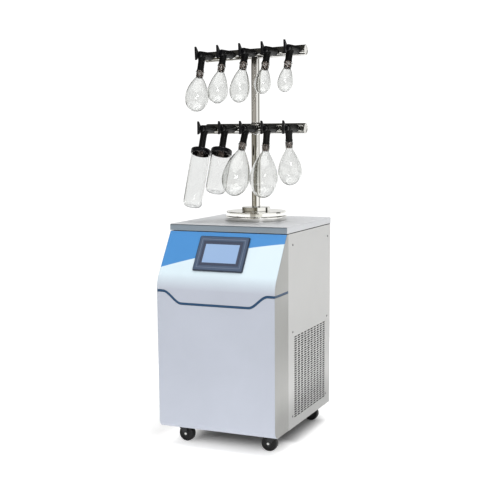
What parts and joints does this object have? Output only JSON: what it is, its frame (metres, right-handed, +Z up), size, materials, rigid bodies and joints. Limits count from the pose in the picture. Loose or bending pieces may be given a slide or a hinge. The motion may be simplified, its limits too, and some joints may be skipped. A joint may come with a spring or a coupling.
{
  "type": "freeze dryer",
  "caption": "Floor-standing laboratory freeze dryer: sloped-front cabinet on swivel casters, cold trap in its deck, and a T-shaped manifold of rubber valves holding glass flasks and jars.",
  "frame": {"origin": "on the floor, under the middle of the overall box", "axes": "+Z up along the manifold's column, +X to the right and +Y to the rear of the cabinet, whose sloped front faces -Y"},
  "size_m": [0.48, 0.628, 1.5252],
  "materials": {
    "deck_steel": "fine brushed stainless steel",
    "polished_steel": "mirror-polished stainless steel",
    "panel_paint": "satin light warm grey powder coat",
    "slope_paint": "satin pale cyan-white with a mid-blue upper field",
    "face_paint": "satin light blue-grey",
    "accent_paint": "satin navy",
    "bezel_plastic": "dark blue-grey moulded plastic",
    "screen": "glossy touch panel, lit periwinkle",
    "black_steel": "black powder coat",
    "aluminium": "bare",
    "black_plastic": "satin black",
    "rubber": "matt black rubber",
    "wheel_rubber": "matt black wheel rubber",
    "clear_glass": "clear borosilicate"
  },
  "bodies": {
    "cabinet": {"accent_strip": "accent_paint", "base_pan": "black_steel", "chamber_seal": "rubber", "cold_trap": "polished_steel", "compressor": "black_steel", "condenser": "aluminium", "left_side_panel": "panel_paint", "lower_front_cover": "face_paint", "power_inlet": "black_plastic", "rear_panel": "panel_paint", "right_side_panel": "panel_paint", "screen_bezel": "bezel_plastic", "screen_glass": "screen", "top_deck": "deck_steel", "upper_front_cover": "slope_paint"},
    "manifold": {"lower_bar": "polished_steel", "manifold_column": "polished_steel", "upper_bar": "polished_steel", "valve_body_lower_1": "rubber", "valve_body_lower_2": "rubber", "valve_body_lower_3": "rubber", "valve_body_lower_4": "rubber", "valve_body_lower_5": "rubber", "valve_body_upper_1": "rubber", "valve_body_upper_2": "rubber", "valve_body_upper_3": "rubber", "valve_body_upper_4": "rubber", "valve_body_upper_5": "rubber"},
    "fork_front_left": {"caster_fork_front_left": "black_steel"},
    "wheel_front_left": {"caster_wheel_front_left": "wheel_rubber"},
    "fork_front_right": {"caster_fork_front_right": "black_steel"},
    "wheel_front_right": {"caster_wheel_front_right": "wheel_rubber"},
    "fork_rear_left": {"caster_fork_rear_left": "black_steel"},
    "wheel_rear_left": {"caster_wheel_rear_left": "wheel_rubber"},
    "fork_rear_right": {"caster_fork_rear_right": "black_steel"},
    "wheel_rear_right": {"caster_wheel_rear_right": "wheel_rubber"},
    "knob_upper_1": {"valve_knob_upper_1": "black_plastic"},
    "knob_upper_2": {"valve_knob_upper_2": "black_plastic"},
    "knob_upper_3": {"valve_knob_upper_3": "black_plastic"},
    "knob_upper_4": {"valve_knob_upper_4": "black_plastic"},
    "knob_upper_5": {"valve_knob_upper_5": "black_plastic"},
    "knob_lower_1": {"valve_knob_lower_1": "black_plastic"},
    "knob_lower_2": {"valve_knob_lower_2": "black_plastic"},
    "knob_lower_3": {"valve_knob_lower_3": "black_plastic"},
    "knob_lower_4": {"valve_knob_lower_4": "black_plastic"},
    "knob_lower_5": {"valve_knob_lower_5": "black_plastic"},
    "flask_upper_1": {"flask_upper_1": "clear_glass"},
    "flask_upper_2": {"flask_upper_2": "clear_glass"},
    "flask_upper_3": {"flask_upper_3": "clear_glass"},
    "flask_upper_4": {"flask_upper_4": "clear_glass"},
    "flask_upper_5": {"flask_upper_5": "clear_glass"},
    "jar_lower_1": {"jar_lower_1": "clear_glass", "jar_lid_lower_1": "black_plastic"},
    "jar_lower_2": {"jar_lower_2": "clear_glass", "jar_lid_lower_2": "black_plastic"},
    "flask_lower_3": {"flask_lower_3": "clear_glass"},
    "flask_lower_4": {"flask_lower_4": "clear_glass"},
    "flask_lower_5": {"flask_lower_5": "clear_glass"},
    "fan": {"condenser_fan": "black_plastic"},
    "switch": {"power_switch": "black_plastic"}
  },
  "joints": [
    {"name": "manifold_lift", "type": "slide", "parent": "cabinet", "child": "manifold", "axis": [0, 0, 1], "range_m": [0, 0.06]},
    {"name": "swivel_front_left", "type": "hinge", "parent": "cabinet", "child": "fork_front_left", "pos_m": [-0.196, -0.206, 0.06], "axis": [0, 0, 1], "continuous": true},
    {"name": "spin_front_left", "type": "hinge", "parent": "fork_front_left", "child": "wheel_front_left", "pos_m": [-0.174, -0.206, 0.0315], "axis": [0, 1, 0], "continuous": true},
    {"name": "swivel_front_right", "type": "hinge", "parent": "cabinet", "child": "fork_front_right", "pos_m": [0.196, -0.206, 0.06], "axis": [0, 0, 1], "continuous": true},
    {"name": "spin_front_right", "type": "hinge", "parent": "fork_front_right", "child": "wheel_front_right", "pos_m": [0.174, -0.206, 0.0315], "axis": [0, 1, 0], "continuous": true},
    {"name": "swivel_rear_left", "type": "hinge", "parent": "cabinet", "child": "fork_rear_left", "pos_m": [-0.196, 0.246, 0.06], "axis": [0, 0, 1], "continuous": true},
    {"name": "spin_rear_left", "type": "hinge", "parent": "fork_rear_left", "child": "wheel_rear_left", "pos_m": [-0.174, 0.246, 0.0315], "axis": [0, 1, 0], "continuous": true},
    {"name": "swivel_rear_right", "type": "hinge", "parent": "cabinet", "child": "fork_rear_right", "pos_m": [0.196, 0.246, 0.06], "axis": [0, 0, 1], "continuous": true},
    {"name": "spin_rear_right", "type": "hinge", "parent": "fork_rear_right", "child": "wheel_rear_right", "pos_m": [0.174, 0.246, 0.0315], "axis": [0, 1, 0], "continuous": true},
    {"name": "knob_turn_upper_1", "type": "hinge", "parent": "manifold", "child": "knob_upper_1", "pos_m": [-0.1819, -0.014, 1.48397], "axis": [0, -1, 0], "range_deg": [0, 180]},
    {"name": "knob_turn_upper_2", "type": "hinge", "parent": "manifold", "child": "knob_upper_2", "pos_m": [-0.09095, -0.014, 1.48698], "axis": [0, -1, 0], "range_deg": [0, 180]},
    {"name": "knob_turn_upper_3", "type": "hinge", "parent": "manifold", "child": "knob_upper_3", "pos_m": [0, -0.014, 1.49], "axis": [0, -1, 0], "range_deg": [0, 180]},
    {"name": "knob_turn_upper_4", "type": "hinge", "parent": "manifold", "child": "knob_upper_4", "pos_m": [0.09095, -0.014, 1.49302], "axis": [0, -1, 0], "range_deg": [0, 180]},
    {"name": "knob_turn_upper_5", "type": "hinge", "parent": "manifold", "child": "knob_upper_5", "pos_m": [0.1819, -0.014, 1.49603], "axis": [0, -1, 0], "range_deg": [0, 180]},
    {"name": "knob_turn_lower_1", "type": "hinge", "parent": "manifold", "child": "knob_lower_1", "pos_m": [-0.176, -0.014, 1.204], "axis": [0, -1, 0], "range_deg": [0, 180]},
    {"name": "knob_turn_lower_2", "type": "hinge", "parent": "manifold", "child": "knob_lower_2", "pos_m": [-0.088, -0.014, 1.204], "axis": [0, -1, 0], "range_deg": [0, 180]},
    {"name": "knob_turn_lower_3", "type": "hinge", "parent": "manifold", "child": "knob_lower_3", "pos_m": [0, -0.014, 1.204], "axis": [0, -1, 0], "range_deg": [0, 180]},
    {"name": "knob_turn_lower_4", "type": "hinge", "parent": "manifold", "child": "knob_lower_4", "pos_m": [0.088, -0.014, 1.204], "axis": [0, -1, 0], "range_deg": [0, 180]},
    {"name": "knob_turn_lower_5", "type": "hinge", "parent": "manifold", "child": "knob_lower_5", "pos_m": [0.176, -0.014, 1.204], "axis": [0, -1, 0], "range_deg": [0, 180]},
    {"name": "pull_flask_upper_1", "type": "slide", "parent": "manifold", "child": "flask_upper_1", "axis": [0.0308, -0.3665, -0.9299], "range_m": [0, 0.03]},
    {"name": "pull_flask_upper_2", "type": "slide", "parent": "manifold", "child": "flask_upper_2", "axis": [0.03, -0.4226, -0.9058], "range_m": [0, 0.03]},
    {"name": "pull_flask_upper_3", "type": "slide", "parent": "manifold", "child": "flask_upper_3", "axis": [0.0299, -0.4305, -0.9021], "range_m": [0, 0.03]},
    {"name": "pull_flask_upper_4", "type": "slide", "parent": "manifold", "child": "flask_upper_4", "axis": [0.0298, -0.4384, -0.8983], "range_m": [0, 0.03]},
    {"name": "pull_flask_upper_5", "type": "slide", "parent": "manifold", "child": "flask_upper_5", "axis": [0.0298, -0.4384, -0.8983], "range_m": [0, 0.03]},
    {"name": "pull_jar_lower_1", "type": "slide", "parent": "manifold", "child": "jar_lower_1", "axis": [0, -0.3746, -0.9272], "range_m": [0, 0.03]},
    {"name": "pull_jar_lower_2", "type": "slide", "parent": "manifold", "child": "jar_lower_2", "axis": [0, -0.3746, -0.9272], "range_m": [0, 0.03]},
    {"name": "pull_flask_lower_3", "type": "slide", "parent": "manifold", "child": "flask_lower_3", "axis": [0, -0.4695, -0.8829], "range_m": [0, 0.03]},
    {"name": "pull_flask_lower_4", "type": "slide", "parent": "manifold", "child": "flask_lower_4", "axis": [0, -0.1908, -0.9816], "range_m": [0, 0.03]},
    {"name": "pull_flask_lower_5", "type": "slide", "parent": "manifold", "child": "flask_lower_5", "axis": [0, 0.0785, -0.9969], "range_m": [0, 0.03]},
    {"name": "fan_spin", "type": "hinge", "parent": "cabinet", "child": "fan", "pos_m": [0.1402, 0.0525, 0.2243], "axis": [1, 0, 0], "continuous": true},
    {"name": "switch_rock", "type": "hinge", "parent": "cabinet", "child": "switch", "pos_m": [0.15, 0.283, 0.215], "axis": [-1, 0, 0], "range_deg": [0, 16]}
  ]
}
